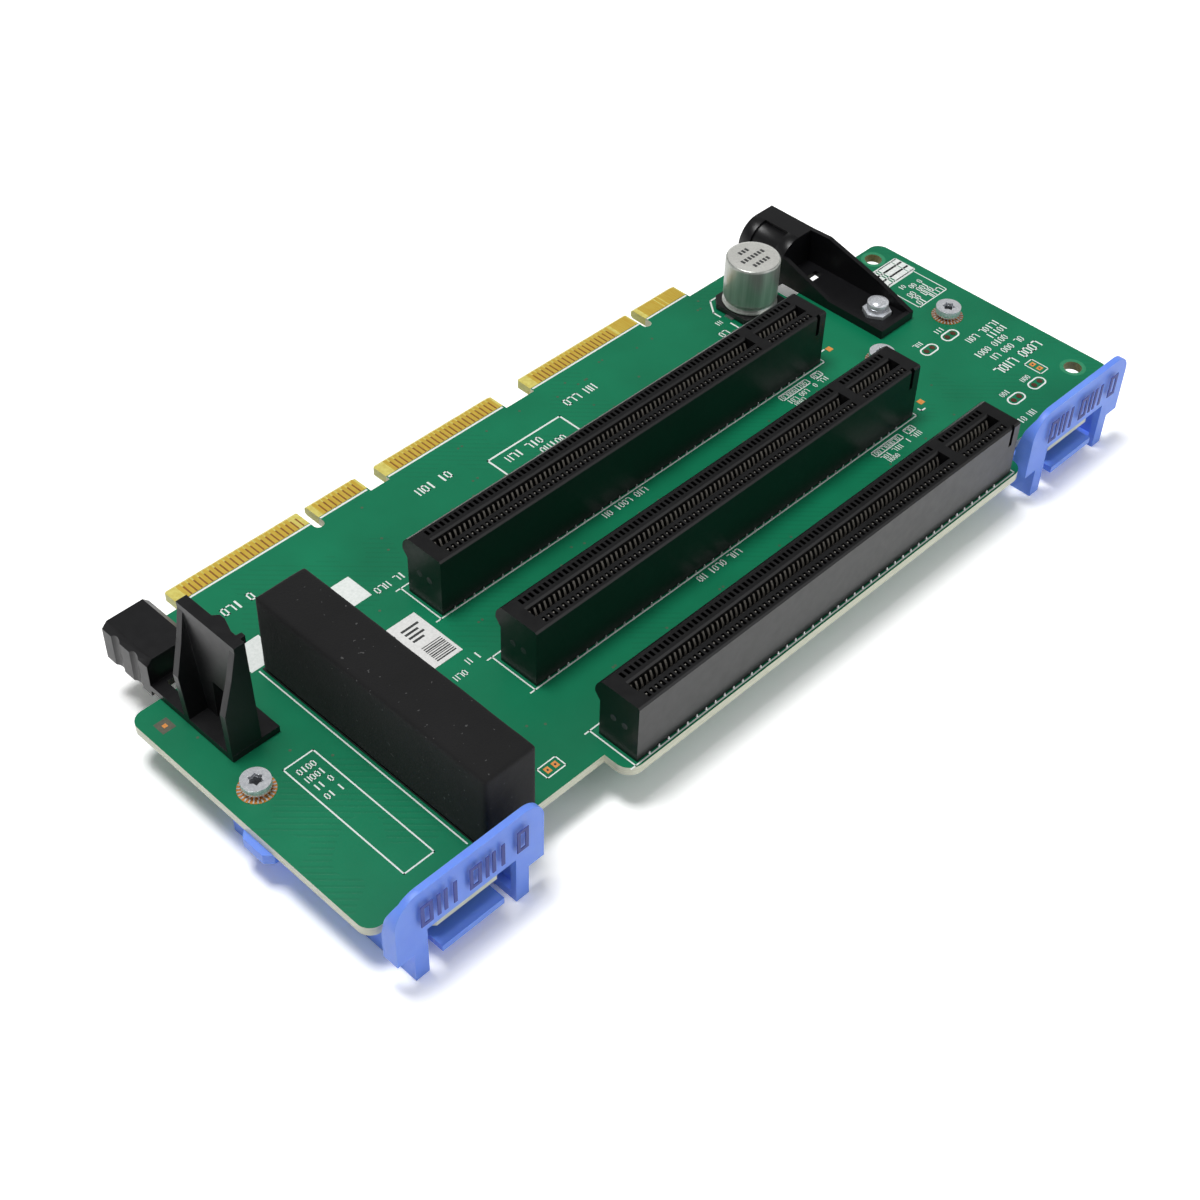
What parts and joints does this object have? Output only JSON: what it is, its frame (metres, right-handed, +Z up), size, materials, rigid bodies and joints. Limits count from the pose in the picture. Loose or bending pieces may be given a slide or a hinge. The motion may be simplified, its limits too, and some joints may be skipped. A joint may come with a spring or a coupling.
{
  "type": "pcie riser card",
  "caption": "Server riser card: a green circuit board with long black card slots, a gold edge connector, a foam block, a can capacitor, black guides and blue lift handles",
  "frame": {"origin": "centre of the bounding box in X and Y, at the bottom of the handles' feet, on the surface that the card rests on", "axes": "+X along the card slots towards the end with the two round holes, +Y towards the gold fingers, +Z up from the board"},
  "size_m": [0.1722, 0.076, 0.0281],
  "materials": {
    "board_green": "solder mask, satin",
    "finger_gold": "gold plated, polished",
    "slot_black": "moulded, satin",
    "foam_black": "soft cloth over foam",
    "can_aluminium": "satin",
    "base_black": "moulded",
    "lead_steel": "tinned",
    "guide_black": "moulded, satin",
    "screw_steel": "plated",
    "handle_blue": "moulded, satin",
    "tape_white": "double sided tape",
    "pad_copper": "bare plated pad",
    "label_paper": "printed label"
  },
  "bodies": {
    "root": {"circuit_board": "board_green", "top_edge_fingers": "finger_gold", "underside_edge_fingers": "finger_gold", "rear_slot_housing": "slot_black", "middle_slot_housing": "slot_black", "front_slot_housing": "slot_black", "air_dam_foam": "foam_black", "foam_tape": "tape_white", "capacitor_can": "can_aluminium", "capacitor_base": "base_black", "capacitor_feet": "lead_steel", "left_guide": "guide_black", "right_guide": "guide_black", "right_guide_stud": "screw_steel", "left_handle": "handle_blue", "right_handle": "handle_blue", "left_handle_screws": "screw_steel", "right_handle_screws": "screw_steel", "component_pads": "pad_copper", "code_label": "label_paper"}
  },
  "joints": []
}
